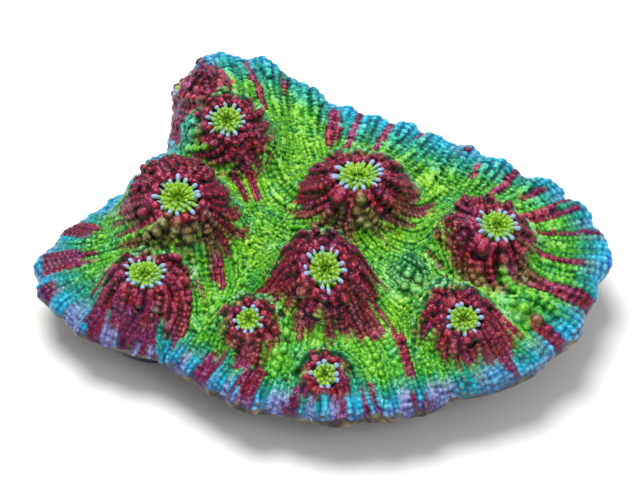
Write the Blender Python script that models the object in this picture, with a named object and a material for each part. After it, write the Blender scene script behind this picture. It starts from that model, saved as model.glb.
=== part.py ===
"""A chalice coral colony: one plate grown from a cut foot, and the polyps that sit in its cups.

The plate is a thin, folded shelf with ten volcano-shaped corallites on top. It stands on the flat
cut where it was taken off its rock. Each polyp is a soft disc with a crown of tentacles.
The origin is the centre of the flat cut, +Z is up and -Y is the low, drooping front of the plate.
"""

import math
from collections import namedtuple

import bmesh
import bpy
from mathutils import Matrix, Vector

MM = 0.001
GAP = 0.3  # between a polyp and its cup
TURN = 2 * math.pi

# The plate's rim by its turning points only, anticlockwise from +X: the angle, how far it reaches
# from the origin there, and how high the middle of its rounded edge stands.
RimTurn = namedtuple("RimTurn", "angle reach height")
RIM_TURNS = (
    RimTurn(0, 60, 13),  # the right end
    RimTurn(50, 42, 16),  # the long, nearly straight back edge, as far as the next turn
    RimTurn(80, 42, 16),
    RimTurn(114, 62, 21),  # the raised wing
    RimTurn(140, 46, 15),  # the notch behind the left corallite
    RimTurn(160, 47, 12),
    RimTurn(184, 60, 11),  # the left end
    RimTurn(230, 43, 10),  # the bay at the front left
    RimTurn(275, 46, 10),  # the front
)
RIM_RADIUS = 2.3  # of the rounded edge, so the shelf is twice this thick there
FOLDS = 36  # gentle folds that cross the rim
FOLD_DEPTHS = (0.55, 0.45, 0.25)  # on average, more of it at the back, and how much it wavers
FOLD_DRIFTS = (1.6, 0.9)  # how unevenly the folds are spaced round the rim, in two waves
FOLD_RISE = 0.6
FOLD_SPREAD = 0.7
FOLDS_START = (0.72, 1.0)  # the shares of the reach between which they grow in
MOUNDS_FADE = (0.86, 1.06)  # and between which the corallites' flanks die out

SHELF_HEIGHT = 15.0  # of the valleys between the corallites
SHELF_TILT = (-0.02, 0.045)  # rise per millimetre along X and Y
DROOP_POWER = 3.4  # how late the shelf leaves its level to meet the rim

CUT_RADII = (33.0, 25.0)  # of the flat, oval cut, along X and Y
NECK_RADII = (37.0, 29.0)  # where the foot meets the shelf
NECK_HEIGHT = 5.5
CREEP_ANGLE = math.radians(204)  # a lobe of the foot that creeps out under the front left
CREEP_REACH = 13.0
CREEP_WIDTH = math.radians(13)
UNDER_REACH = 0.84  # of the rim's reach, a ring half-way along the underside
UNDER_DROP = 1.2  # of that ring below the rim's underside

GRID_CELLS = 42  # along each side of the top's grid
GRID_TURN = math.radians(-30)  # keeps the corners of the grid clear of the corallites
LIP_STEPS = 4

CUP_DEPTH = 1.7
CUP_FLOOR = 0.62  # of the cup's mouth radius
CUP_SEGMENTS = 20
SLOPE_SPAN = 0.8  # of the mouth's radius, over which the slope that a cup faces is taken
CUTTER_RISE = 2.5  # of a cutter above its cup's mouth
NOTCH = 0.84  # of the crown's radius, between two tentacles
NOTCH_DROP = 0.35
SHARP_ANGLE = 60
FLANK_POWER = 1.4  # of the slope round a summit: higher is a rounder brow
BLEND_POWER = 2.6  # higher keeps neighbouring mounds more apart

# x, y: the cup's centre, and rise: how far it stands above the shelf. cup: the radius of its mouth.
# oval: how much longer the mouth is down the slope than across it. lean: the fall of the summit
# per millimetre along X and Y. summit: where the middle of the summit lies from the cup.
# wall: the summit's radius. flank: how far the slope beyond it takes to fall.
Corallite = namedtuple("Corallite", "name x y rise cup oval lean summit wall flank tentacles")
CORALLITES = (
    Corallite("polyp_wing_edge", -30, 43, 6.0, 3.2, 1.0, (-0.45, 0.85), (1.0, -2.0), 4.4, 4.4, 11),
    Corallite("polyp_wing", -20, 25, 10.6, 4.0, 1.0, (0.10, -0.24), (0.5, 1.6), 5.4, 5.0, 12),
    Corallite("polyp_left", -29, 0, 12.0, 4.6, 1.0, (0.08, -0.24), (-0.6, 2.6), 7.8, 4.6, 12),
    Corallite("polyp_back", 8, 9, 10.2, 4.8, 0.9, (0.0, 0.12), (0.0, 2.6), 7.4, 4.6, 14),
    Corallite("polyp_middle", 1, -19, 11.2, 4.1, 1.2, (0.12, -0.40), (-0.5, 1.8), 6.2, 4.6, 14),
    Corallite("polyp_right", 36, -5, 9.8, 4.1, 1.0, (0.14, -0.14), (-2.4, 1.8), 5.8, 4.6, 14),
    Corallite("polyp_front_left", -35, -16, 6.6, 3.9, 0.9, (0.0, -0.02), (0.0, 0.4), 5.2, 4.6, 12),
    Corallite("polyp_front_small", -14, -27, 5.8, 2.8, 1.0, (0.0, -0.34), (0.0, 1.0), 3.7, 3.0, 8),
    Corallite("polyp_front_smallest", 1, -39, 4.0, 2.7, 1.0, (0.0, -0.36), (0.0, 0.9), 3.5, 2.6, 9),
    Corallite("polyp_front_right", 28, -28, 6.8, 3.3, 0.9, (0.08, -0.34), (-1.2, 2.4), 4.8, 4.2, 10),
)

# Low swellings between the corallites, without a cup: x, y, rise, reach.
SWELLINGS = (
    (18, -13, 3.4, 4.6),
    (24, -20, 3.4, 4.2),
    (42, -20, 2.4, 6.0),
    (15, -32, 2.2, 6.5),
    (-5, -31, 2.0, 5.0),
    (-31, 14, 3.0, 7.0),
)

SKELETON = ("coral_tissue", (0.16, 0.42, 0.08), 0.35)
POLYP_FLESH = ("polyp_flesh", (0.30, 0.62, 0.08), 0.3)


def cleared_scene():
    for obj in list(bpy.data.objects):
        bpy.data.objects.remove(obj)


def collection(name):
    made = bpy.data.collections.new(name)
    bpy.context.scene.collection.children.link(made)
    return made


def material(name, colour, roughness):
    made = bpy.data.materials.new(name)
    made.use_nodes = True
    shader = made.node_tree.nodes["Principled BSDF"]
    shader.inputs["Base Color"].default_value = (*colour, 1.0)
    shader.inputs["Roughness"].default_value = roughness
    shader.inputs["Metallic"].default_value = 0.0
    return made


def smooth(low, high, value):
    t = min(1.0, max(0.0, (value - low) / (high - low)))
    return t * t * (3 - 2 * t)


def rim(angle):
    """The rim at an angle, eased from each turning point to the next."""
    degrees = math.degrees(angle) % 360
    for here, after in zip(RIM_TURNS, RIM_TURNS[1:] + RIM_TURNS[:1]):
        span = (after.angle - here.angle) % 360
        past = (degrees - here.angle) % 360
        if past < span:
            share = smooth(0, span, past)
            return RimTurn(
                degrees,
                here.reach + share * (after.reach - here.reach),
                here.height + share * (after.height - here.height),
            )


def fold(angle):
    """The rim's folds, from -1 to 1: deeper at the back, uneven all round."""
    average, more_at_back, waver = FOLD_DEPTHS
    depth = average + more_at_back * math.sin(angle) + waver * math.sin(3 * angle + 1.0)
    drift = FOLD_DRIFTS[0] * math.sin(2 * angle) + FOLD_DRIFTS[1] * math.sin(5 * angle)
    return depth * math.sin(FOLDS * angle + drift)


def reach(angle):
    """As far as the top of the shelf goes, short of its rounded edge."""
    return rim(angle).reach - RIM_RADIUS


def mound_height(x, y):
    """Corallites and swellings together, blended where their flanks meet."""
    total = 0.0
    for c in CORALLITES:
        dx, dy = x - c.x, y - c.y
        beyond = max(0.0, math.hypot(dx - c.summit[0], dy - c.summit[1]) - c.wall)
        share = math.exp(-((beyond / c.flank) ** FLANK_POWER))
        total += max(0.0, share * (c.rise - c.lean[0] * dx - c.lean[1] * dy)) ** BLEND_POWER
    for sx, sy, rise, spread in SWELLINGS:
        total += (rise * math.exp(-(((x - sx) ** 2 + (y - sy) ** 2) / spread**2))) ** BLEND_POWER
    return total ** (1 / BLEND_POWER)


def top_height(x, y):
    angle = math.atan2(y, x)
    share = min(1.0, math.hypot(x, y) / reach(angle))
    shelf = SHELF_HEIGHT + SHELF_TILT[0] * x + SHELF_TILT[1] * y
    crest = rim(angle).height + RIM_RADIUS
    edge = share**DROOP_POWER
    folds = FOLD_RISE * fold(angle) * smooth(*FOLDS_START, share)
    mounds = mound_height(x, y) * (1 - smooth(*MOUNDS_FADE, share))
    return shelf * (1 - edge) + crest * edge + folds + mounds


def square_to_disc(a, b):
    """The share of the reach and the angle of a point of the square from -1 to 1."""
    if a == 0 and b == 0:
        return 0.0, 0.0
    if abs(a) > abs(b):
        return abs(a), math.pi / 4 * b / a + (math.pi if a < 0 else 0.0)
    return abs(b), math.pi / 2 - math.pi / 4 * a / b + (math.pi if b < 0 else 0.0)


def lip_point(angle, tilt):
    """A point of the rounded edge: tilt is a quarter turn on top of it and minus that below."""
    out = reach(angle) + RIM_RADIUS * math.cos(tilt) + FOLD_SPREAD * fold(angle) * math.cos(tilt)
    height = rim(angle).height + RIM_RADIUS * math.sin(tilt) + FOLD_RISE * fold(angle)
    return Vector((out * math.cos(angle), out * math.sin(angle), height))


def foot_point(angle, radii, height):
    """A point of the foot's outline: an oval with the creeping lobe."""
    away = math.remainder(angle - CREEP_ANGLE, TURN) / CREEP_WIDTH
    oval = 1 / math.hypot(math.cos(angle) / radii[0], math.sin(angle) / radii[1])
    out = oval + CREEP_REACH * math.exp(-away * away)
    return Vector((out * math.cos(angle), out * math.sin(angle), height))


def under_point(angle):
    out = reach(angle) * UNDER_REACH
    height = rim(angle).height - RIM_RADIUS - UNDER_DROP
    return Vector((out * math.cos(angle), out * math.sin(angle), height))


def plate_rings():
    """From the top's border round the edge, along the underside and down the foot to the cut."""
    quarter = math.pi / 2
    for step in range(1, LIP_STEPS + 1):
        tilt = quarter - math.pi * step / LIP_STEPS
        yield lambda angle, tilt=tilt: lip_point(angle, tilt)
    yield under_point
    yield lambda angle: foot_point(angle, NECK_RADII, NECK_HEIGHT)
    yield lambda angle: foot_point(angle, CUT_RADII, 0.0)


def plate(home, finish):
    shape = bmesh.new()
    bmesh.ops.create_grid(shape, x_segments=GRID_CELLS, y_segments=GRID_CELLS, size=1.0)
    angle_of = {}
    for vert in shape.verts:
        share, angle = square_to_disc(vert.co.x, vert.co.y)
        angle += GRID_TURN
        out = share * reach(angle)
        x, y = out * math.cos(angle), out * math.sin(angle)
        vert.co = (x, y, top_height(x, y))
        angle_of[vert] = angle
    border = [edge for edge in shape.edges if edge.is_boundary]
    for ring in plate_rings():
        extruded = bmesh.ops.extrude_edge_only(shape, edges=border)["geom"]
        outer = {g for g in extruded if isinstance(g, bmesh.types.BMVert)}
        for vert in outer:
            inner = next(e.other_vert(vert) for e in vert.link_edges if e.other_vert(vert) not in outer)
            angle_of[vert] = angle_of[inner]
            vert.co = ring(angle_of[vert])
        border = [g for g in extruded if isinstance(g, bmesh.types.BMEdge)]
    bmesh.ops.contextual_create(shape, geom=border)
    bmesh.ops.recalc_face_normals(shape, faces=shape.faces)
    made = solid("plate", shape, home)
    made.data.materials.append(finish)
    return made


def solid(name, shape, home):
    """A mesh object from a shape in millimetres."""
    shape.transform(Matrix.Scale(MM, 4))
    mesh = bpy.data.meshes.new(name)
    shape.to_mesh(mesh)
    shape.free()
    mesh.shade_smooth()
    mesh.set_sharp_from_angle(angle=math.radians(SHARP_ANGLE))
    made = bpy.data.objects.new(name, mesh)
    home.objects.link(made)
    return made


def cup_frame(c):
    """Where a cup sits: its mouth's centre, with Z the way it faces and Y up the slope."""
    span = SLOPE_SPAN * c.cup
    fall_x = (top_height(c.x - span, c.y) - top_height(c.x + span, c.y)) / (2 * span)
    fall_y = (top_height(c.x, c.y - span) - top_height(c.x, c.y + span)) / (2 * span)
    facing = Vector((fall_x, fall_y, 1.0)).normalized()
    turned = facing.to_track_quat("Z", "Y").to_matrix().to_4x4()
    stretched = Matrix.Diagonal((1 / math.sqrt(c.oval), math.sqrt(c.oval), 1.0, 1.0))
    return Matrix.Translation(Vector((c.x, c.y, top_height(c.x, c.y))) * MM) @ turned @ stretched


def cup_cutter(c, home):
    """A tapered plug that takes a cup out of the plate."""
    shape = bmesh.new()
    taper = c.cup * (1 - CUP_FLOOR) / CUP_DEPTH
    bmesh.ops.create_cone(shape, cap_ends=True, segments=CUP_SEGMENTS, radius1=c.cup * CUP_FLOOR,
                          radius2=c.cup + taper * CUTTER_RISE, depth=CUP_DEPTH + CUTTER_RISE)
    bmesh.ops.translate(shape, verts=shape.verts, vec=(0, 0, (CUTTER_RISE - CUP_DEPTH) / 2))
    made = solid(c.name + "_cup_cutter", shape, home)
    made.matrix_world = cup_frame(c)
    made.hide_render = True
    made.display_type = "WIRE"


def polyp(c, home, finish):
    """A sphere drawn out into a flat crown: each tentacle is a lobe of its side."""
    floor = c.cup * CUP_FLOOR - GAP
    # Out and up for each level of the sphere, from its lowest point to its highest.
    profile = ((0.0, GAP - CUP_DEPTH), (floor, GAP - CUP_DEPTH), (0.98 * c.cup, 1.2),
               (0.84 * c.cup, 1.7), (0.46 * c.cup, 0.5), (0.0, 0.1))
    tips = (2, 3)  # the levels that the tentacles' ends span
    shape = bmesh.new()
    levels = len(profile) - 1
    bmesh.ops.create_uvsphere(shape, u_segments=3 * c.tentacles, v_segments=levels, radius=1.0)
    for vert in shape.verts:
        level = round(levels * math.acos(max(-1.0, min(1.0, -vert.co.z))) / math.pi)
        angle = math.atan2(vert.co.y, vert.co.x)
        out, up = profile[level]
        if level in tips and round(3 * c.tentacles * angle / TURN) % 3 == 0:
            out *= NOTCH
            up -= NOTCH_DROP
        vert.co = (out * math.cos(angle), out * math.sin(angle), up)
    made = solid(c.name, shape, home)
    made.data.materials.append(finish)
    made.matrix_world = cup_frame(c)


def main():
    cleared_scene()
    coral = collection("chalice_coral")
    cutters = collection("cutters")
    tissue = material(*SKELETON)
    flesh = material(*POLYP_FLESH)
    body = plate(coral, tissue)
    for c in CORALLITES:
        cup_cutter(c, cutters)
        polyp(c, coral, flesh)
    cups = body.modifiers.new("cups", "BOOLEAN")
    cups.operation = "DIFFERENCE"
    cups.operand_type = "COLLECTION"
    cups.collection = cutters


main()
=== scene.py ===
"""The looks of the chalice coral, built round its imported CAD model.

The colony's skin follows the CAD plate, with soft ribs raised on it. Rows of beads then grow over
the skin: they leave each cup, run down its flanks and turn outwards to the rim. Every cup gets a
soft polyp. All lengths here are in millimetres until a mesh is made.
"""

import math
import random
from collections import namedtuple

import bpy
import numpy as np
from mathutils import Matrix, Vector
from mathutils.bvhtree import BVHTree
from mathutils.kdtree import KDTree

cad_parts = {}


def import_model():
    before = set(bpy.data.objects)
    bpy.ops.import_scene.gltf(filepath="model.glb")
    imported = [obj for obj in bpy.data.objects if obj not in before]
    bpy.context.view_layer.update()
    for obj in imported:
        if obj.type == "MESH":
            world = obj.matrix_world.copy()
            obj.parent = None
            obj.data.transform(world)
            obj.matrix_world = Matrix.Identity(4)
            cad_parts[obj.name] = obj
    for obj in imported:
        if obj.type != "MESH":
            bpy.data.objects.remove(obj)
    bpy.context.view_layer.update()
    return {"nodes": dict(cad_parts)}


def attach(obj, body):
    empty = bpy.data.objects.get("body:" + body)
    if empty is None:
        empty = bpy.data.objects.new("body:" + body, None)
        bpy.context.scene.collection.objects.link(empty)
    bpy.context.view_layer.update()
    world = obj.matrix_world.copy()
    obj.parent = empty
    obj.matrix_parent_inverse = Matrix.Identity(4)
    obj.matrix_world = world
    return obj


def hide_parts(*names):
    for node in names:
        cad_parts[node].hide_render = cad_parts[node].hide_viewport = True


MM = 0.001
TURN = 2 * math.pi
UP = Vector((0, 0, 1))
POLYP = "polyp_"  # how the names of the CAD's polyps start

# The camera looks along +Y and down, at a point above the middle of the cut.
CAMERA_ELEVATION = math.radians(42)
CAMERA_DISTANCE = 371.0
CAMERA_TARGET = Vector((0, 0, 16))
CAMERA_LENS = 100.0
FLOOR_HALF = 3000.0

SKIN_VOXEL = 0.70
SKIN_RELAXED = (0.6, 6)  # how much each time, and how many times
TISSUE_VOXEL = 0.25  # of the finished surface, with its beads
TISSUE_RELAXED = (0.5, 2)
UNDERSIDE_SHARE = 0.12  # of its faces that the plain underside keeps
LIP_NORMAL = 0.05  # rows end where the skin turns under, at this height of its normal

STEP = 0.35  # along a rib or a row, when it is traced
MOST_STEPS = 600
ROW_STARTS = 0.80  # of a row's width: how near to another row one may start
ROW_ENDS = 0.66  # and how near it may come before it ends
ROW_BESIDE = 0.88  # and where the next row is tried
CUP_MARGIN = 1.2  # of a cup's radius, where the rows round it start
CUP_MOUTH = 1.04  # of its radius, where rows may not go
FLANK_ENDS = (1.6, 3.0)  # in radii of its cup, where a corallite's flank levels out and ends
RIB_SPACING = 5.0
RIB_SPACING_BACK = 9.0
RIB_RISE = 0.25
RIB_RISE_RIM = 0.5  # more at the rim, which they fold
RIB_RISE_FRONT = 0.8  # and more again on the -Y side, round FOLDED_MIDDLE
FOLDED_MIDDLE = math.radians(250)
COMBED_MIDDLE = math.radians(98)

VALLEY_ROW = 1.05  # from one row to the next
FLANK_ROW = 1.45  # round a cup of TYPICAL_CUP's radius
TYPICAL_CUP = 4.2
FRONT_ROW = 0.65  # more on a flank that faces -Y
OUTER_ROW = 1.80  # towards the rim, round OUTER_MIDDLE
OUTER_MIDDLE = math.radians(50)
VALLEY_PITCH = 0.88  # from bead to bead, in row widths
VALLEY_BEAD = 1.02  # and the most, from bead to bead
FLANK_PITCH = 0.46
KNOB_HALF = 1.15  # the most
MAJOR_SHARE = 0.09  # of the way between two rows that a major row takes from a minor one
MAJOR_LIFT = 0.75  # how much higher a major row stands on a flank
SIDE_OVERLAP = 1.10  # of beads in neighbouring rows
ROW_OVERLAP = 1.18  # of beads in one row
FLANK_OVERLAP = 0.17  # more on a flank
GRAINS = 3000
SOFTENING = 5  # how softly one bead's colour runs into the next
RING_KNOB = 2.05  # across each round knob of the ring about a cup
TENTACLE_SPACING = 1.8  # round the edge of a cup
FOOT_TOP = 8.0  # the height below which the tissue darkens into the foot: partly its own dark brown, partly painted shade under the plate

# How far each corallite's dark red reaches from the middle of its cup towards +X, +Y, -X and -Y,
# how olive its foot is on the -Y side, and the share of its major rows that are chains of knobs.
# Here and below, a corallite goes by its polyp's name without POLYP.
Look = namedtuple("Look", "right back left front olive knobbly")
LOOKS = {
    "wing_edge": Look(9.0, 9.0, 9.0, 14.0, 0.0, 0.25),
    "wing": Look(9.0, 6.4, 6.6, 8.4, 0.1, 0.3),
    "left": Look(12.0, 12.0, 12.0, 8.2, 1.0, 0.15),
    "back": Look(13.0, 7.6, 12.5, 10.8, 0.8, 0.15),
    "middle": Look(11.5, 7.8, 10.2, 9.0, 0.3, 0.4),
    "right": Look(8.0, 7.8, 11.5, 9.4, 0.8, 0.3),
    "front_left": Look(10.8, 4.8, 9.6, 9.2, 0.1, 0.03),
    "front_small": Look(5.8, 5.0, 5.0, 4.9, 0.2, 0.2),
    "front_smallest": Look(4.8, 4.8, 5.0, 4.0, 0.1, 0.1),
    "front_right": Look(9.4, 7.2, 7.8, 6.8, 0.2, 0.08),
}
# Dark rows that run on from a corallite: its polyp, direction in degrees, half width in degrees,
# and how far from the cup's middle they reach.
TAILS = (
    ("wing", -60, 5, 15), ("wing", -75, 5, 15), ("back", -20, 5, 16), ("back", -170, 5, 13),
    ("middle", -30, 10, 14), ("middle", 170, 10, 13), ("right", -45, 10, 17), ("left", -45, 10, 16),
    ("front_left", -30, 10, 13), ("front_left", 205, 10, 13), ("front_right", -30, 10, 13),
    ("front_small", -90, 15, 8),
)
# Dark stripes near the rim, by angle in degrees and share of the rim's reach, measured from the
# middle of the cut: outer angle and share, inner angle and share, half width.
STRIPES = (
    (120, 1.0, 112, 0.95, 2.0), (110, 1.0, 105, 0.65, 1.5), (100, 0.85, 100, 0.75, 0.5),
    (90, 0.9, 80, 0.65, 1.0), (80, 1.0, 75, 0.65, 1.0), (65, 0.95, 65, 0.65, 0.7),
    (55, 0.95, 55, 0.85, 0.5), (40, 0.95, 40, 0.9, 0.5), (30, 0.85, 30, 0.7, 0.5),
    (25, 0.95, 20, 0.7, 0.8), (20, 0.9, 15, 0.75, 0.5), (15, 0.95, 5, 0.7, 0.8),
    (5, 1.0, 0, 0.7, 0.9), (355, 0.9, 350, 0.7, 0.7), (340, 1.0, 345, 0.7, 1.1),
    (330, 1.0, 330, 0.9, 1.2), (320, 0.9, 320, 0.8, 0.8), (295, 1.0, 295, 0.95, 2.0),
    (295, 0.85, 300, 0.6, 0.7), (285, 1.0, 280, 0.9, 1.5), (275, 1.0, 275, 0.95, 1.0),
    (265, 1.0, 260, 0.9, 1.5), (255, 1.0, 245, 0.8, 2.0), (240, 1.0, 235, 0.85, 2.0),
    (220, 1.0, 210, 0.8, 3.0), (195, 1.0, 190, 0.9, 2.0), (185, 0.95, 185, 0.8, 2.5),
    (175, 0.95, 175, 0.8, 2.0),
)
# Points that stand up from the skin: the polyp they are near, direction in degrees, distance, half
# width and height.
PEAKS = (
    ("middle", 120, 6.5, 2.0, 1.5), ("middle", 85, 6.5, 2.0, 1.5), ("middle", 55, 6.5, 1.5, 1.0),
    ("right", 110, 6.0, 2.0, 1.5), ("right", 75, 6.0, 1.5, 1.0), ("front_left", 125, 5.5, 1.5, 1.0),
    ("front_left", 90, 5.5, 1.5, 1.0), ("front_left", 55, 5.5, 1.5, 1.0), ("back", 100, 6.5, 2.0, 1.0),
    ("back", 60, 6.5, 2.0, 1.0), ("wing", 60, 6.0, 1.5, 1.0), ("left", 100, 7.0, 2.0, 1.0),
    ("right", -160, 19.0, 5.0, 6.0), ("front_right", 115, 9.5, 3.0, 2.0),
    ("front_right", -50, 10.5, 3.0, 1.5), ("front_right", -90, 12.0, 3.0, 1.5),
    ("front_left", -70, 10.0, 2.0, 1.0), ("front_left", -120, 9.0, 2.0, 1.0),
)
# The rim's uneven lobes, in waves: how many go round it, how far each stands out and its phase.
RIM_WAVES = ((9, 0.7, 1.0), (17, 0.5, 2.5), (31, 0.25, 4.0))
# Groups of big knobs: the polyp they are near, direction in degrees, distance, reach and how much
# bigger they are than their neighbours.
KNOBS = (
    ("right", -145, 21.0, 3.5, 2.5), ("front_right", 20, 14.0, 4.5, 2.0),
    ("front_small", -45, 10.0, 3.5, 2.5), ("front_left", -15, 14.0, 3.0, 2.5),
    ("front_small", -10, 8.0, 3.0, 2.0), ("front_smallest", 20, 12.0, 6.0, 2.0),
    ("left", -100, 9.0, 4.5, 1.5), ("right", -115, 8.0, 4.5, 1.5), ("front_left", -10, 9.0, 3.0, 1.5),
    ("back", -125, 7.0, 2.0, 1.5), ("back", -90, 7.0, 2.0, 1.5), ("back", -60, 7.0, 2.0, 1.5),
)
# Places on the wing where the rows all lie one way: direction in degrees and distance from its cup
# to their middle, reach, and the rows' own direction.
COMBED = (
    (16, 15.0, 9.5, -72), (-38, 14.0, 8.5, -62), (-66, 12.0, 5.0, -68), (60, 17.0, 7.0, -76),
    (-30, 6.5, 3.0, -50), (170, 9.5, 5.5, -107),
)
# A bead of each colour, with painted shade and a painted highlight: darkest at its foot in the groove,
# as painted shade, then its side and its top, and palest at its very top, as a painted highlight, from 0
# to 255 as a screen shows them, and the heights on the bead that these stand for.
BEAD_HEIGHTS = (0.28, 0.58, 0.84, 1.0)
BEAD_COLOURS_WITH_PAINTED_SHADE = {
    "green": ((16, 78, 10), (36, 124, 18), (76, 170, 40), (140, 212, 98)),
    "lime": ((34, 98, 6), (78, 150, 14), (134, 198, 46), (194, 230, 110)),
    "moss": ((8, 78, 44), (22, 124, 66), (70, 176, 106), (140, 212, 160)),
    "red": ((46, 2, 14), (90, 8, 28), (134, 24, 46), (182, 84, 104)),
    "rust": ((60, 4, 8), (110, 14, 18), (152, 36, 34), (200, 104, 84)),
    "plum": ((48, 2, 34), (86, 12, 58), (126, 42, 94), (164, 92, 146)),
    "olive": ((38, 28, 8), (68, 62, 18), (100, 104, 44), (150, 156, 104)),
    "teal": ((0, 72, 68), (2, 112, 98), (22, 158, 134), (98, 208, 186)),
    "cyan": ((6, 104, 144), (20, 152, 192), (80, 206, 232), (166, 234, 246)),
    # Blue is only the painted highlight along the rim's +Y edge.
    "blue": ((30, 84, 180), (60, 130, 232), (104, 172, 255), (160, 204, 255)),
    "lavender": ((66, 40, 100), (118, 96, 160), (166, 148, 204), (208, 198, 232)),
    "mint": ((16, 92, 52), (60, 152, 92), (122, 202, 150), (186, 226, 204)),
}
UNDERSIDE = ((44, 34, 12), (96, 84, 42), (130, 120, 76), (160, 152, 116))
# The foot's dark brown: partly its own colour and partly painted shade under the plate.
FOOT_AND_PAINTED_SHADE = ((24, 10, 10), (50, 28, 24), (72, 48, 40), (96, 74, 64))

Cup = namedtuple("Cup", "name centre facing side upslope wide long radius")
Row = namedtuple("Row", "points major")  # a major row stands higher and wider than a minor one
Bead = namedtuple("Bead", "place normal along wide long tall row")


def smooth(low, high, value):
    t = np.clip((value - low) / (high - low), 0.0, 1.0)
    return t * t * (3 - 2 * t)


def turn_between(a, b):
    """The angle from b to a, in degrees, from -180 to 180."""
    return (a - b + 180) % 360 - 180


def from_axis(points):
    """How far each point is from the Z axis."""
    return np.hypot(points[:, 0], points[:, 1])


def unit(vectors):
    return vectors / np.maximum(np.linalg.norm(vectors, axis=1, keepdims=True), 1e-9)


def read_vertices(obj, what):
    values = np.empty(len(obj.data.vertices) * 3)
    obj.data.vertices.foreach_get(what, values)
    return values.reshape(-1, 3)


def mesh_points(obj):
    """A mesh's points, in millimetres."""
    return read_vertices(obj, "co") / MM


def mesh_normals(obj):
    return read_vertices(obj, "normal")


def object_from(name, data):
    made = bpy.data.objects.new(name, data)
    bpy.context.scene.collection.objects.link(made)
    return made


def triangles(obj):
    obj.data.calc_loop_triangles()
    faces = np.empty(len(obj.data.loop_triangles) * 3, dtype=np.int32)
    obj.data.loop_triangles.foreach_get("vertices", faces)
    return faces.reshape(-1, 3)


def make_even(obj, voxel, factor, times):
    """Adds modifiers that rebuild a mesh in small, even faces and then relax them."""
    remesh = obj.modifiers.new("remesh", "REMESH")
    remesh.mode = "VOXEL"
    remesh.voxel_size = voxel * MM
    relax = obj.modifiers.new("relax", "SMOOTH")
    relax.factor = factor
    relax.iterations = times


def apply_modifiers(obj):
    graph = bpy.context.evaluated_depsgraph_get()
    mesh = bpy.data.meshes.new_from_object(obj.evaluated_get(graph))
    obj.modifiers.clear()
    obj.data = mesh


# ---- what the frame says


def read_cup(name, node):
    """Where a cup is and how it faces, from its polyp's CAD solid."""
    points = mesh_points(node)
    centre = points.mean(0)
    spread = np.linalg.eigh(np.cov((points - centre).T))[1]
    facing = Vector(spread[:, 0])
    facing = facing if facing.z > 0 else -facing
    upslope = (UP - facing * facing.z).normalized()
    side = upslope.cross(facing)
    across = np.abs((points - centre) @ np.array(side)).max()
    along = np.abs((points - centre) @ np.array(upslope)).max()
    return Cup(name, Vector(centre), facing, side, upslope, across, along, (across + along) / 2)


def round_cup(cup, angle, wide, long):
    """The way from a cup's centre to a point of an oval round it."""
    return cup.side * (math.cos(angle) * wide) + cup.upslope * (math.sin(angle) * long)


def offsets(points, cups, name, direction=0, distance=0):
    """How far points lie in X and Y from the place at a direction and a distance from a cup."""
    cup = next(c for c in cups if c.name == name)
    angle = math.radians(direction)
    dx = points[:, 0] - (cup.centre.x + distance * math.cos(angle))
    return dx, points[:, 1] - (cup.centre.y + distance * math.sin(angle))


class Rim:
    """How far the colony reaches in each direction from the origin."""

    def __init__(self, plate):
        points = mesh_points(plate)
        angle = self.angle(points)
        out = from_axis(points)
        self.angles = np.arange(0, 361, 5.0)
        self.reach = np.array([out[np.abs(turn_between(angle, a)) < 4].max() for a in self.angles])

    def angle(self, points):
        return np.degrees(np.arctan2(points[:, 1], points[:, 0])) % 360

    def reach_at(self, points):
        return np.interp(self.angle(points), self.angles, self.reach)

    def facing(self, points, middle):
        """1 on the side of the colony at an angle, in radians, and -1 on the other side."""
        return np.cos(np.radians(self.angle(points)) - middle)

    def share(self, points):
        """0 at the origin and 1 at the rim."""
        return from_axis(points) / self.reach_at(points)

    def inset(self, points):
        """How far inside the rim, towards the origin."""
        return self.reach_at(points) - from_axis(points)

    def outward(self, points):
        """The way that rows run to the rim: square to it, but from the origin round COMBED_MIDDLE."""
        here = self.share(points)
        ahead = [self.share(points + d) - here for d in ((1.0, 0, 0), (0, 1.0, 0))]
        square = np.stack([*ahead, np.zeros(len(points))], 1)
        turned = np.radians(self.angle(points))
        radial = np.stack([np.cos(turned), np.sin(turned), np.zeros(len(points))], 1)
        combed = smooth(0.5, 0.85, self.facing(points, COMBED_MIDDLE))[:, None]
        return square * (1 - combed) + radial * (0.02 * combed)


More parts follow.
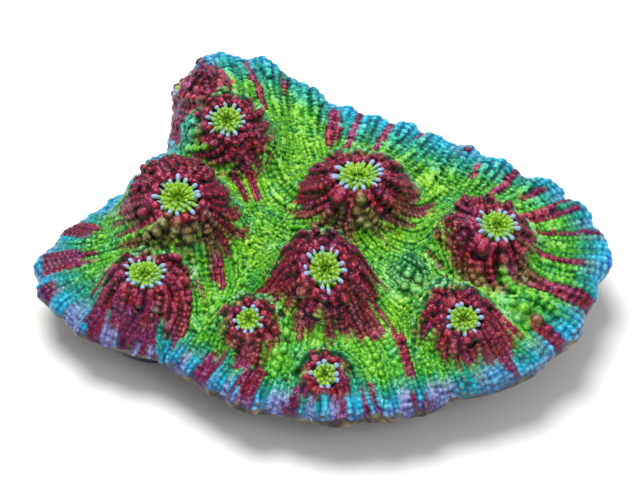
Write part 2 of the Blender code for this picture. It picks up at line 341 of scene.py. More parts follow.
class Ground:
    """The skin as a surface to grow on: its slope, the way that rows run and how far apart."""

    def __init__(self, skin, cups, rim):
        self.cups = cups
        self.radii = np.array([c.radius for c in cups])
        self.rim = rim
        points, faces = mesh_points(skin), triangles(skin)
        self.tree = BVHTree.FromPolygons(points.tolist(), faces.tolist())
        self.middles = points[faces].mean(1)
        self.slopes = unit(mesh_normals(skin)[faces].mean(1))
        self.share = rim.share(self.middles)
        self.cup_index, self.cup_distance = self.nearest_cups(self.middles)
        self.flank = 1 - smooth(*FLANK_ENDS, self.cup_distance)
        self.normals = [Vector(n) for n in self.slopes]
        self.flow = [Vector(f) for f in self.flow_field()]
        self.barred = ((self.slopes[:, 2] < LIP_NORMAL) | self.in_a_cup()).tolist()

    def nearest_cups(self, points):
        """The nearest cup to each point, and how many of its radii away it is."""
        centres = np.array([c.centre for c in self.cups])
        away = np.linalg.norm(points[:, None] - centres, axis=2)
        nearest = away.argmin(1)
        return nearest, away.min(1) / self.radii[nearest]

    def flow_field(self):
        """Away from every cup, and out over the rim."""
        pull = np.zeros((len(self.middles), 3))
        for cup in self.cups:
            away = self.middles - np.array(cup.centre)
            away[:, 2] = 0
            pull += away * (cup.radius**2 / ((away * away).sum(1) + 1.0) ** 1.5)[:, None]
        back = smooth(0.0, 0.5, np.sin(np.radians(self.rim.angle(self.middles))))
        strength = 4 + 12 * back * smooth(0.35, 0.6, self.share) + 60 * smooth(0.7, 1.0, self.share)
        pull += self.rim.outward(self.middles) * strength[:, None]
        pull = unit(pull)
        for direction, distance, reach, lie in COMBED:
            away = np.hypot(*offsets(self.middles, self.cups, "wing", direction, distance))
            amount = smooth(1.0, 0.4, away / reach)[:, None]
            way = np.array((math.cos(math.radians(lie)), math.sin(math.radians(lie)), 0))
            same = np.where(pull @ way > 0, 1.0, -1.0)[:, None]
            pull = unit(pull * (1 - amount) + way * (same * amount))
        pull[:, 2] = -0.25 - 1.2 * smooth(0.93, 1.0, self.share)
        return unit(pull - self.slopes * (pull * self.slopes).sum(1)[:, None])

    def in_a_cup(self):
        """True inside the mouth of a cup, which the polyp fills."""
        inside = np.zeros(len(self.middles), dtype=bool)
        for cup in self.cups:
            away = self.middles - np.array(cup.centre)
            across = away @ np.array(cup.side) / (cup.wide * CUP_MOUTH)
            along = away @ np.array(cup.upslope) / (cup.long * CUP_MOUTH)
            near = np.abs(away @ np.array(cup.facing)) < cup.radius
            inside |= near & (across**2 + along**2 < 1)
        return inside

    def row_widths(self):
        """Rows are widest on the flanks that face -Y and narrow in the valleys."""
        size = self.radii[self.cup_index] / TYPICAL_CUP
        front = np.clip(-self.slopes[:, 1], 0, 1)
        on_flank = self.flank * ((FLANK_ROW - VALLEY_ROW) + FRONT_ROW * front) * size**0.7
        side = smooth(-0.2, 0.4, self.rim.facing(self.middles, OUTER_MIDDLE))
        outer = smooth(0.5, 0.75, self.share) * side * (1 - self.flank)
        return VALLEY_ROW + on_flank + (OUTER_ROW - VALLEY_ROW) * outer

    def nearest(self, place):
        found = self.tree.find_nearest(place)
        return found[0], found[2]


# ---- the skin


def plain_skin(plate):
    """The CAD plate without its facets: the same shape in small, even, rounded faces."""
    skin = object_from("colony_skin", plate.data.copy())
    skin.data.materials.clear()
    weld = skin.modifiers.new("weld", "WELD")
    weld.merge_threshold = 0.00001
    make_even(skin, SKIN_VOXEL, *SKIN_RELAXED)
    apply_modifiers(skin)
    return skin


class Taken:
    """The points of the rows so far, in a grid of cells, to find the ones near a place."""

    def __init__(self, cell):
        self.cell = cell
        self.cells = {}

    def key(self, place):
        c = self.cell
        return math.floor(place.x / c), math.floor(place.y / c), math.floor(place.z / c)

    def add(self, place, row):
        self.cells.setdefault(self.key(place), []).append((place, row))

    def near(self, place):
        a, b, c = self.key(place)
        cells = self.cells
        for i in (a - 1, a, a + 1):
            for j in (b - 1, b, b + 1):
                for k in (c - 1, c, c + 1):
                    if (i, j, k) in cells:
                        yield from cells[i, j, k]

    def crowded(self, place, distance):
        limit = distance * distance
        return any((place - other).length_squared < limit for other, _ in self.near(place))


def run(ground, taken, spacing, place, face, way):
    """The points of a row from here on, until it leaves the rim or comes too near another."""
    points = []
    heading = ground.flow[face] * way
    while len(points) < MOST_STEPS:
        flow = ground.flow[face]
        heading = flow if flow.dot(heading) > 0 else -flow
        found, face = ground.nearest(place + heading * STEP)
        if ground.barred[face] or (found - place).length < 0.3 * STEP:
            break
        if taken.crowded(found, ROW_ENDS * spacing[face]):
            break
        points.append((found, face))
        place = found
    return points


def grow_rows(ground, spacing, least):
    """Evenly spaced rows: first from round each cup, then between those that spread apart."""
    spacing = spacing.tolist()
    taken = Taken(max(spacing))
    rows = []

    def try_row(place, face, major):
        if ground.barred[face] or taken.crowded(place, ROW_STARTS * spacing[face]):
            return
        row = run(ground, taken, spacing, place, face, -1)[::-1] + [(place, face)]
        row += run(ground, taken, spacing, place, face, 1)
        if len(row) * STEP > least:
            for point, _ in row:
                taken.add(point, (len(rows), major))
            rows.append(Row(row, major))

    for cup in ground.cups:
        start = ground.nearest(cup.centre + cup.upslope * (cup.long * CUP_MARGIN))[1]
        count = round(TURN * cup.radius * CUP_MARGIN / spacing[start])
        for k in range(count):
            off = round_cup(cup, TURN * k / count, cup.wide, cup.long)
            try_row(*ground.nearest(cup.centre + off * CUP_MARGIN), k % 2 == 0)
    at = 0
    while at < len(rows):
        for place, face in rows[at].points[1::3]:
            side = ground.flow[face].cross(ground.normals[face]) * (ROW_BESIDE * spacing[face])
            try_row(*ground.nearest(place + side), not rows[at].major)
            try_row(*ground.nearest(place - side), not rows[at].major)
        at += 1
    return rows, taken


def tree_of(points):
    tree = KDTree(len(points))
    for k, point in enumerate(points):
        tree.insert(point, k)
    tree.balance()
    return tree


class Folds:
    """Widely spaced ribs of the skin, which fold the rim into lobes."""

    def __init__(self, ground):
        self.rim = ground.rim
        rows = grow_rows(ground, self.spacing(ground.middles), 6.0)[0]
        self.tree = tree_of([place for row in rows for place, _ in row.points])

    def at_front(self, points):
        """1 where the rim is finely folded, round FOLDED_MIDDLE, and 0 elsewhere."""
        return smooth(0.35, 0.75, self.rim.facing(points, FOLDED_MIDDLE))

    def spacing(self, points):
        return RIB_SPACING_BACK + (RIB_SPACING - RIB_SPACING_BACK) * self.at_front(points)

    def crest(self, points):
        """1 along the ribs and 0 midway between them."""
        distance = np.array([self.tree.find(p)[2] for p in points])
        half = 0.52 * self.spacing(points)
        return 0.5 + 0.5 * np.cos(np.pi * np.minimum(distance / half, 1))


def raise_skin(skin, ground, folds):
    """Lifts the skin along its ribs, most of all at the rim, raises its points and waves the rim."""
    points, normals = mesh_points(skin), mesh_normals(skin)
    share = ground.rim.share(points)
    front = folds.at_front(points)
    rise = RIB_RISE + (RIB_RISE_RIM + RIB_RISE_FRONT * front) * smooth(0.80, 0.97, share)
    rise *= smooth(-0.5, 0.1, normals[:, 2]) * smooth(1.0, 1.5, ground.nearest_cups(points)[1])
    lift = (folds.crest(points) - 0.35) * rise
    for name, direction, distance, half, height in PEAKS:
        away = np.hypot(*offsets(points, ground.cups, name, direction, distance))
        near = np.clip(1 - away / half, 0, 1)
        points[:, 2] += height * near**1.2 * smooth(0.0, 0.4, normals[:, 2])
    points += normals * lift[:, None]
    turned = np.radians(ground.rim.angle(points))
    out = sum(most * np.sin(count * turned + phase) for count, most, phase in RIM_WAVES)
    out *= smooth(0.8, 1.0, share)
    points[:, :2] *= 1 + (out / np.maximum(from_axis(points), 1.0))[:, None]
    skin.data.vertices.foreach_set("co", (points * MM).ravel())
    skin.data.update()


# ---- the beads


def knob_gain(ground):
    """How much bigger the beads are at each face, near the groups of knobs."""
    gain = np.ones(len(ground.middles))
    for name, direction, distance, reach, most in KNOBS:
        dx, dy = offsets(ground.middles, ground.cups, name, direction, distance)
        near = np.exp(-(dx**2 + dy**2) / reach**2)
        gain = np.maximum(gain, 1 + (most - 1) * near)
    return gain


def room(taken, place, along, side, row, major, widest):
    """How much room a row has to the left and to the right. Major rows take more than half."""
    left = right = 0.5 * widest
    for other, (its_row, its_major) in taken.near(place):
        if its_row != row:
            off = other - place
            if abs(off.dot(along)) < 0.5:
                part = 0.5 + MAJOR_SHARE * (major - its_major)
                across = off.dot(side)
                if across > 0:
                    right = min(right, across * part)
                else:
                    left = min(left, -across * part)
    return left, right


def string_beads(ground, rows, taken, spacing, rng):
    """Beads along every row, each as wide as the row has room for."""
    flat = smooth(0.88, 1.0, ground.share) * smooth(0.9, 0.3, ground.slopes[:, 2])
    flat = np.maximum(flat, 0.5 * smooth(0.80, 0.97, ground.share)).tolist()
    front = np.clip(-ground.slopes[:, 1], 0, 1).tolist()
    gain = knob_gain(ground).tolist()
    flank = ground.flank.tolist()
    beads = []
    for number, row in enumerate(rows):
        vigour = rng.uniform(0.93, 1.07)
        corallite = ground.cups[ground.cup_index[row.points[0][1]]].name
        knobbly = row.major and rng.random() < LOOKS[corallite].knobbly
        wait = 0.0
        for place, face in row.points:
            wait -= STEP
            if wait > 0:
                continue
            along, normal, wide = ground.flow[face], ground.normals[face], spacing[face]
            side = along.cross(normal)
            left, right = room(taken, place, along, side, number, row.major, 1.4 * wide)
            left, right = max(left, 0.3 * wide), max(right, 0.3 * wide)
            half = (left + right) / 2
            valley_pitch = min(VALLEY_PITCH, VALLEY_BEAD / wide)
            pitch = FLANK_PITCH * flank[face] + valley_pitch * (1 - flank[face])
            tall = 1.0 + 0.15 * front[face]
            bigger = (gain[face] - 1) * row.major
            round_share = max(0.04, 0.85 * flank[face] * knobbly, 1.2 * (bigger - 0.15))
            big = 1 + bigger * rng.uniform(0.5, 1.0)
            if rng.random() < round_share:
                half = min(half, KNOB_HALF)
                pitch, tall = 0.92, 1.2
            long = half * pitch * big * rng.uniform(0.88, 1.12)
            tall *= half * vigour * rng.uniform(0.92, 1.1) * (1 - 0.8 * flat[face]) * big
            lift = MAJOR_LIFT * (0.4 + 0.6 * flank[face]) * row.major + 0.35 * (big - 1)
            lift *= vigour * (1 - flat[face])
            centre = place + side * ((right - left) / 2 + rng.uniform(-0.05, 0.05)) + normal * lift
            swing = along + side * rng.uniform(-0.12, 0.12)
            tilt = normal + side * rng.uniform(-0.07, 0.07) + along * rng.uniform(-0.07, 0.07)
            overlap = ROW_OVERLAP + FLANK_OVERLAP * flank[face]
            beads.append(Bead(centre, tilt, swing, SIDE_OVERLAP * half * big, overlap * long, tall, number))
            wait = 2 * long
    return beads


def ring_knobs(ground, cups, beads, rng):
    """A ring of round knobs about every cup, in the colours of the rows that start there."""
    tree = tree_of([b.place for b in beads])
    knobs = []
    for cup in cups:
        wide, long = cup.wide + 0.45 * RING_KNOB, cup.long + 0.45 * RING_KNOB
        count = round(math.pi * (wide + long) / RING_KNOB)
        for k in range(count):
            angle = TURN * (k + rng.uniform(-0.15, 0.15)) / count
            off = round_cup(cup, angle, wide, long)
            place, face = ground.nearest(cup.centre + off)
            size = 0.5 * RING_KNOB * rng.uniform(0.85, 1.1)
            normal = (ground.normals[face] + cup.facing).normalized()
            row = beads[tree.find(place)[1]].row
            knobs.append(Bead(place + normal * 0.15, normal, off, size, size, 1.05 * size, row))
    return knobs


def scatter_grains(ground, beads, rng):
    """Small grains over the joins between beads, mostly in the valleys."""
    tree = tree_of([b.place for b in beads])
    bare = np.array(ground.barred) | (ground.share > 0.93) | (knob_gain(ground) > 1.25)
    chance = np.where(bare, 0, 1 - 0.75 * ground.flank)
    faces = rng.choices(range(len(chance)), chance.tolist(), k=GRAINS)
    grains = []
    for face in faces:
        place = Vector(ground.middles[face])
        bead = beads[tree.find(place)[1]]
        size = rng.uniform(0.28, 0.50)
        normal = ground.normals[face]
        place += normal * (0.45 * bead.tall)
        grains.append(Bead(place, normal, ground.flow[face], size, size, size, bead.row))
    return grains


def ring_faces(rings, around, first=0):
    """Triangles between rings of points that are each closed round."""
    faces = []
    for i in range(rings - 1):
        for j in range(around):
            a = first + i * around + j
            b = first + i * around + (j + 1) % around
            faces += [(a, a + around, b), (b, a + around, b + around)]
    return faces


def dome(around, levels):
    """Points and triangles of the top half of a unit ball, on a skirt that sinks into the skin."""
    polar = np.radians(np.linspace(0, 90, levels + 1))[1:]
    turn = TURN * np.arange(around) / around
    rings = [np.stack([np.sin(p) * np.cos(turn + p), np.sin(p) * np.sin(turn + p),
                       np.full(around, np.cos(p))], 1) for p in polar]
    skirt = rings[-1] * (0.9, 0.9, 1) - (0, 0, 1.1)
    points = np.concatenate([[[0, 0, 1.0]], *rings, skirt])
    faces = [(0, 1 + j, 1 + (j + 1) % around) for j in range(around)]
    return points, np.array(faces + ring_faces(levels + 1, around, 1))


def mesh_from(name, points, faces):
    """A smooth mesh object from arrays of points, in millimetres, and triangles."""
    mesh = bpy.data.meshes.new(name)
    mesh.vertices.add(len(points))
    mesh.vertices.foreach_set("co", (points * MM).astype(np.float32).ravel())
    mesh.loops.add(faces.size)
    mesh.loops.foreach_set("vertex_index", faces.astype(np.int32).ravel())
    mesh.polygons.add(len(faces))
    mesh.polygons.foreach_set("loop_start", np.arange(0, faces.size, 3, dtype=np.int32))
    mesh.update(calc_edges=True)
    mesh.shade_smooth()
    return object_from(name, mesh)


def set_values(obj, name, values):
    """One number for each point of a mesh, for its material to read."""
    layer = obj.data.attributes.new(name, "FLOAT", "POINT")
    layer.data.foreach_set("value", np.asarray(values, np.float32))


def laid_out(beads, ball, rng):
    """The points of every bead: the same dome, made uneven, stretched and laid on the skin."""
    normal = unit(np.array([b.normal for b in beads]))
    along = np.array([b.along for b in beads])
    along = unit(along - normal * (along * normal).sum(1)[:, None])
    across = np.cross(normal, along)
    sizes = np.array([(b.long, b.wide, b.tall) for b in beads])
    local = ball[None] * sizes[:, None] * rng.uniform(0.95, 1.04, (len(beads), len(ball), 1))
    return (local[..., :1] * along[:, None] + local[..., 1:2] * across[:, None]
            + local[..., 2:] * normal[:, None] + np.array([b.place for b in beads])[:, None])


def heap(skin, beads, rng):
    """The skin with all of its beads standing in it, not yet joined."""
    points, faces = [mesh_points(skin)], [triangles(skin)]
    first = len(points[0])
    for small, (ball, ball_faces) in ((False, dome(14, 5)), (True, dome(8, 3))):
        chosen = [b for b in beads if (b.wide < 0.9) == small]
        points.append(laid_out(chosen, ball, rng).reshape(-1, 3))
        starts = first + np.arange(len(chosen)) * len(ball)
        faces.append((ball_faces[None] + starts[:, None, None]).reshape(-1, 3))
        first += len(points[-1])
    return mesh_from("colony_tissue", np.concatenate(points), np.concatenate(faces))


def fuse(tissue):
    """Joins the skin and the beads into one soft surface, with larger faces on the underside."""
    make_even(tissue, TISSUE_VOXEL, *TISSUE_RELAXED)
    apply_modifiers(tissue)
    normals = mesh_normals(tissue)
    under = np.flatnonzero(normals[:, 2] < -0.4)
    tissue.vertex_groups.new(name="under").add(under.tolist(), 1.0, "REPLACE")
    thin = tissue.modifiers.new("thin", "DECIMATE")
    thin.vertex_group = "under"
    thin.ratio = 1 - (1 - UNDERSIDE_SHARE) * len(under) / len(normals)
    apply_modifiers(tissue)


# ---- where each colour goes


def row_noise(row, seed):
    """A number from -0.5 to 0.5 that belongs to a row."""
    wave = np.sin(row * 12.9898 + seed * 78.233) * 43758.5453
    return wave - np.floor(wave) - 0.5


def corallite_masks(cups, points, row):
    """The dark red of each corallite, the olive at its front foot, and a pale line behind it on the +Y
    side, a painted sheen where the mound turns away.
    """
    dark, olive, mint = (np.zeros(len(points)) for _ in range(3))
    for cup in cups:
        look = LOOKS[cup.name]
        dx, dy = offsets(points, cups, cup.name)
        away = np.hypot(dx, dy)
        c, s = dx / away, dy / away
        reach = (look.right * np.clip(c, 0, 1) ** 2 + look.left * np.clip(-c, 0, 1) ** 2
                 + look.back * np.clip(s, 0, 1) ** 2 + look.front * np.clip(-s, 0, 1) ** 2)
        reach = reach * (1 + 0.42 * row_noise(row, 1) * (1 - 0.6 * np.clip(s, 0, 1)))
        dark = np.maximum(dark, 1 - smooth(-1.6, 1.6, away - reach + 1.6 * row_noise(points[:, 0], 6)))
        foot = smooth(0.58, 0.85, away / reach + 0.4 * row_noise(row, 2)) * np.clip(-s, 0, 1) ** 0.7
        olive = np.maximum(olive, foot * look.olive * (1 - smooth(0, 2.5, away - reach)))
        # Painted sheen: a pale line just beyond the dark red on each corallite's +Y side.
        mint = np.maximum(mint, np.exp(-((away - reach - 0.7) ** 2)) * np.clip(s, 0, 1) ** 0.5)
    return dark, olive, mint


def tail_mask(cups, points, row):
    """The rows that leave a corallite in some directions stay dark for longer."""
    mask = np.zeros(len(points))
    for name, direction, half, length in TAILS:
        dx, dy = offsets(points, cups, name)
        away = np.hypot(dx, dy)
        off = np.abs(turn_between(np.degrees(np.arctan2(dy, dx)), direction))
        leaving = (off < half) & (np.abs(away - 0.65 * length) < 1.0)
        ends = 1 - smooth(-0.5, 0.5, away - length * (1 + 0.2 * row_noise(row, 3)))
        mask = np.maximum(mask, np.isin(row, np.unique(row[leaving])) * (off < half + 25) * ends)
    return mask


def stripe_mask(rim, points, row):
    """Whole rows turn dark between two shares of the rim's reach."""
    mask = np.zeros(len(points))
    share, angle = rim.share(points), rim.angle(points)
    for outer, out_share, inner, in_share, half in STRIPES:
        middle = inner + turn_between(outer, inner) / 2
        across = np.radians(turn_between(angle, middle)) * from_axis(points)
        level = np.abs(share - (out_share + in_share) / 2) < 0.02
        chosen = np.isin(row, np.unique(row[level & (np.abs(across) < half)]))
        near = np.abs(across) < 6 + half
        low = in_share + 0.10 * row_noise(row, 4) + 0.03 * row_noise(points[:, 0], 7)
        ends = smooth(low - 0.03, low + 0.03, share) * smooth(out_share + 0.03, out_share, share)
        mask = np.maximum(mask, chosen * near * ends)
    return mask


def colour_masks(cups, rim, folds, beads):
    """What each bead is coloured by: numbers from 0 to 1."""
    points = np.array([b.place for b in beads])
    row = np.array([b.row for b in beads])
    dark, olive, mint = corallite_masks(cups, points, row)
    dark = np.maximum(dark, tail_mask(cups, points, row))
    dark = np.maximum(dark, stripe_mask(rim, points, row))
    share = rim.share(points)
    sine = np.sin(np.radians(rim.angle(points)))
    left = smooth(0.7, 0.95, np.cos(np.radians(rim.angle(points) - 185)))
    back = smooth(0.0, 0.5, sine)
    inset = (rim.inset(points) + 3.0 * row_noise(row, 5)) / (1 + 0.6 * left + 0.7 * back)
    groove = smooth(0.55, 0.15, folds.crest(points)) * smooth(0.86, 0.94, share)
    groove *= 0.3 + 0.7 * folds.at_front(points)
    for name, direction, distance, half, _ in PEAKS:
        dx, dy = offsets(points, cups, name, direction, distance)
        near = np.exp(-(dx**2 + dy**2) / half**2)
        mint = np.maximum(mint, 0.8 * near * (half > 2.5))
    # The mint mask holds the big peaks' own teal-green and the painted sheen behind each corallite.
    return {"dark": dark, "olive": olive, "mint": mint * (1 - dark),
            "teal": smooth(8.0, 4.0, inset),
            "cyan": smooth(4.2, 1.2, inset),
            "groove": groove,
            # A painted highlight: a bright blue line along the last millimetre of the rim on the +Y side.
            "edge": smooth(1.0, 0.0, rim.inset(points)) * smooth(-0.6, 0.0, sine),
            "hem": smooth(1.6, 0.2, rim.inset(points)) * smooth(0.0, -0.5, sine),
            "fused": smooth(0.80, 0.95, share),
            "bright": smooth(0.9, 0.5, share)}


# ---- materials


class Graph:
    """A short way to write a material's nodes."""

    def __init__(self, name):
        self.material = bpy.data.materials.new(name)
        self.material.use_nodes = True
        self.nodes = self.material.node_tree.nodes
        self.links = self.material.node_tree.links
        self.shader = self.nodes["Principled BSDF"]

    def node(self, kind, inputs, **settings):
        """A node with its settings, and a value or a link for each of its inputs."""
        made = self.nodes.new(kind)
        for key, value in settings.items():
            setattr(made, key, value)
        self.fill(made, inputs)
        return made

    def fill(self, node, inputs):
        for key, value in inputs.items():
            if isinstance(value, bpy.types.NodeSocket):
                self.links.new(value, node.inputs[key])
            else:
                node.inputs[key].default_value = value

    def attribute(self, name):
        return self.node("ShaderNodeAttribute", {}, attribute_name=name).outputs["Fac"]

    def noise(self, size, detail=3.0):
        """Noise with features of about a size in millimetres, spread to fill 0 to 1."""
        place = self.node("ShaderNodeTexCoord", {}).outputs["Object"]
        rough = {"Vector": place, "Scale": 1 / (size * MM), "Detail": detail}
        made = self.node("ShaderNodeTexNoise", rough).outputs["Fac"]
        spread = {"Value": made, "From Min": 0.3, "From Max": 0.7}
        return self.node("ShaderNodeMapRange", spread).outputs["Result"]

    def math(self, operation, a, b=0.0, c=0.0):
        return self.node("ShaderNodeMath", {0: a, 1: b, 2: c}, operation=operation).outputs[0]

    def ramp(self, value, colours):
        """A colour for each place along a value, from stops of place, red, green and blue."""
        made = self.node("ShaderNodeValToRGB", {"Fac": value})
        elements = made.color_ramp.elements
        while len(elements) < len(colours):
            elements.new(0.5)
        for element, (place, *colour) in zip(elements, colours):
            element.position = place
            element.color = (*colour, 1.0)
        return made.outputs["Color"]

    def mix(self, amount, a, b):
        inputs = {"Factor": amount, 6: a, 7: b}
        return self.node("ShaderNodeMix", inputs, data_type="RGBA", clamp_factor=True).outputs[2]

    def bump(self, height, strength, distance):
        inputs = {"Height": height, "Strength": strength, "Distance": distance * MM}
        self.fill(self.shader, {"Normal": self.node("ShaderNodeBump", inputs).outputs["Normal"]})


def linear(colour):
    """A colour given from 0 to 255, as a screen shows it, in the renderer's own terms."""
    return [v / 255 / 12.92 if v < 11 else ((v / 255 + 0.055) / 1.055) ** 2.4 for v in colour]


def stops(colours, places=BEAD_HEIGHTS):
    """A ramp's stops for colours given from 0 to 255, by height on a bead, where they paint shade and
    highlight, or at other places.
    """
    return [(place, *linear(colour)) for place, colour in zip(places, colours)]


def coral_colour(g, height, tint):
    """The colony's colours, with painted shade that darkens each one deep in the grooves and a painted
    highlight that pales it on the beads' tops.
    """
    # Painted shade and highlight: each colour's ramp runs from dark low on a bead to pale at its top.
    shade = g.math("MULTIPLY_ADD", g.noise(0.5), 0.3, g.math("SUBTRACT", height, 0.15))
    ramps = {name: g.ramp(shade, stops(colours)) for name, colours in BEAD_COLOURS_WITH_PAINTED_SHADE.items()}

    patches = g.math("MULTIPLY_ADD", g.noise(7.0), g.attribute("bright"), g.math("MULTIPLY", tint, 0.35))
    colour = g.mix(g.math("SUBTRACT", patches, 0.15), ramps["green"], ramps["lime"])
    colour = g.mix(g.math("MULTIPLY_ADD", g.noise(5.0), 1.6, -0.95), colour, ramps["moss"])
    # The mint mask paints the peaks' own colour and a painted sheen behind each corallite.
    for name in ("mint", "teal", "cyan"):
        colour = g.mix(g.attribute(name), colour, ramps[name])
    reds = g.mix(g.math("MULTIPLY_ADD", tint, 2.0, -1.35), ramps["red"], ramps["rust"])
    plummy = g.math("MULTIPLY_ADD", g.attribute("teal"), 0.6, -0.7)
    reds = g.mix(g.math("MULTIPLY_ADD", g.noise(4.0), 1.4, plummy), reds, ramps["plum"])
    reds = g.mix(g.attribute("olive"), reds, ramps["olive"])
    colour = g.mix(g.math("MULTIPLY", g.attribute("groove"), 0.8), colour, ramps["lavender"])
    speckled = g.math("MULTIPLY_ADD", g.noise(1.2), 0.4, g.math("MULTIPLY", g.attribute("dark"), 1.3))
    colour = g.mix(g.math("SUBTRACT", speckled, 0.35), colour, reds)
    colour = g.mix(g.math("MULTIPLY", g.attribute("hem"), 0.45), colour, ramps["lavender"])
    # Painted highlight: a blue line along the rim's +Y edge.
    colour = g.mix(g.math("MULTIPLY", g.attribute("edge"), 0.7), colour, ramps["blue"])
    return g.node("ShaderNodeHueSaturation", {"Saturation": 1.05, "Color": colour}).outputs["Color"]


def wet(g, colour, roughness):
    """A wet finish with small cool highlights."""
    g.fill(g.shader, {"Base Color": colour, "Roughness": roughness,
                      "Specular IOR Level": 0.25, "Specular Tint": (0.75, 0.8, 1.0, 1),
                      "Coat Weight": 0.4, "Coat Roughness": 0.12, "Coat IOR": 1.33,
                      "Sheen Weight": 0.3, "Sheen Roughness": 0.3, "Sheen Tint": (0.25, 0.35, 1.0, 1)})


def tissue_material():
    """The wet, beaded tissue, and the bare, olive-brown underside, which turns dark brown low down: partly
    the foot's own colour and partly painted shade under the plate.
    """
    g = Graph("coral_tissue_wet")
    colour = coral_colour(g, g.attribute("crown"), g.attribute("tint"))
    under = g.ramp(g.noise(3.0, 6.0), stops(UNDERSIDE))
    foot = g.ramp(g.noise(2.0, 6.0), stops(FOOT_AND_PAINTED_SHADE))
    under = g.mix(g.attribute("foot"), under, foot)
    wet(g, g.mix(g.attribute("under"), colour, under), 0.45)
    g.bump(g.noise(0.35), 0.3, 0.15)
    return g.material


# ---- polyps


def oral_disc(count):
    """A dish with a ridge to each tentacle, from the mouth out to the skirt inside the cup."""
    around = 8 * count
    angle = TURN * np.arange(around) / around
    # Out, up, and how strong the ridges are.
    profile = ((0.02, -0.26, 0.0), (0.05, -0.20, 0.1), (0.10, -0.13, 0.3), (0.18, -0.14, 0.6),
               (0.30, -0.12, 1.0), (0.43, -0.06, 1.0), (0.56, 0.0, 1.0), (0.68, 0.03, 1.0),
               (0.78, 0.0, 0.9), (0.84, -0.1, 0.6), (0.86, -0.25, 0.3), (0.80, -0.45, 0.0))
    waves = np.abs(np.cos(angle * count / 2)) ** 0.7
    points, ridge = [], []
    for out, up, strength in profile:
        reach = out * (1 + 0.12 * strength * (waves - 0.5) * (out > 0.6))
        slit = 1 + 1.8 * math.exp(-((out / 0.1) ** 2)) * np.abs(np.cos(angle))
        points.append(np.stack([reach * slit * np.cos(angle), reach * np.sin(angle),
                                up + 0.10 * strength * (waves - 0.6)], 1))
        ridge.append(waves * min(1.0, out / 0.4))
    middle = len(profile) * around
    faces = ring_faces(len(profile), around)
    faces += [(middle, j, (j + 1) % around) for j in range(around)]
    points = np.concatenate([*points, [[0, 0, -0.3]]])
    return points, np.array(faces), np.zeros(len(points)), np.append(np.concatenate(ridge), 0.0)


def tentacle(angle, start, length, thick, lean, pale):
    """A soft finger that leans out over the cup's edge, with a bulb at its end."""
    around = 10
    # Along the finger, and its thickness there.
    profile = ((0.0, 0.8), (0.12, 1.0), (0.3, 1.0), (0.46, 0.88), (0.58, 1.05), (0.72, 1.2),
               (0.86, 1.1), (0.95, 0.72), (1.0, 0.15))
    out = Vector((math.cos(angle), math.sin(angle), 0))
    side = Vector((-math.sin(angle), math.cos(angle), 0))
    points, tip = [], []
    place = out * start - UP * 0.04
    last = 0.0
    for t, width in profile:
        bend = lean + 0.5 * (t - 0.5)
        along = out * math.sin(bend) + UP * math.cos(bend)
        place = place + along * (length * (t - last))
        last = t
        up = side.cross(along)
        for j in range(around):
            a = TURN * j / around
            points.append(place + (side * math.cos(a) + up * math.sin(a)) * (thick * width))
            tip.append(t * pale)
    faces = ring_faces(len(profile), around)
    end = len(points)
    points.append(place + along * 0.01)
    tip.append(pale)
    faces += [(end - around + j, end, end - around + (j + 1) % around) for j in range(around)]
    return np.array(points), np.array(faces), np.array(tip), np.full(len(points), 0.8)


def polyp_parts(count, rng):
    """The disc and three rings of tentacles, longer towards the edge."""
    parts = [oral_disc(count)]
    thick = 1.65 / count
    # Each ring: its count, where its tentacles start, their length, lean in degrees, thickness, tip.
    rings = ((count, 0.56, 0.58, 74, 0.9, 1.0), (count, 0.45, 0.38, 60, 0.8, 0.62),
             (round(0.7 * count), 0.27, 0.29, 48, 0.75, 0.5))
    for shift, (number, start, length, lean, thickness, pale) in enumerate(rings):
        for k in range(number):
            angle = TURN * (k + 0.5 * shift + rng.uniform(-0.25, 0.25)) / number
            parts.append(tentacle(angle, start * rng.uniform(0.92, 1.08), length * rng.uniform(0.8, 1.2),
                                  thick * thickness, math.radians(lean + rng.uniform(-13, 13)), pale))
    return parts


def polyp(cup, seed):
    rng = random.Random(seed)
    count = max(8, round(TURN * cup.radius / TENTACLE_SPACING))
    points, faces, tips, ridges = zip(*polyp_parts(count, rng))
    starts = np.cumsum([0] + [len(p) for p in points])
    faces = np.concatenate([f + start for f, start in zip(faces, starts)])
    points = np.concatenate(points)
    turn = rng.uniform(0, TURN)
    x = points[:, 0] * math.cos(turn) - points[:, 1] * math.sin(turn)
    y = points[:, 0] * math.sin(turn) + points[:, 1] * math.cos(turn)
    side, upslope, facing = (np.array(v) for v in (cup.side, cup.upslope, cup.facing))
    world = (np.array(cup.centre) + np.outer(x * cup.wide, side) + np.outer(y * cup.long, upslope)
             + np.outer(points[:, 2] * cup.radius, facing))
    made = mesh_from(POLYP + cup.name + "_flesh", world, faces)
    set_values(made, "tip", np.concatenate(tips))
    set_values(made, "ridge", np.concatenate(ridges))
    set_values(made, "middle", from_axis(points))
    return made


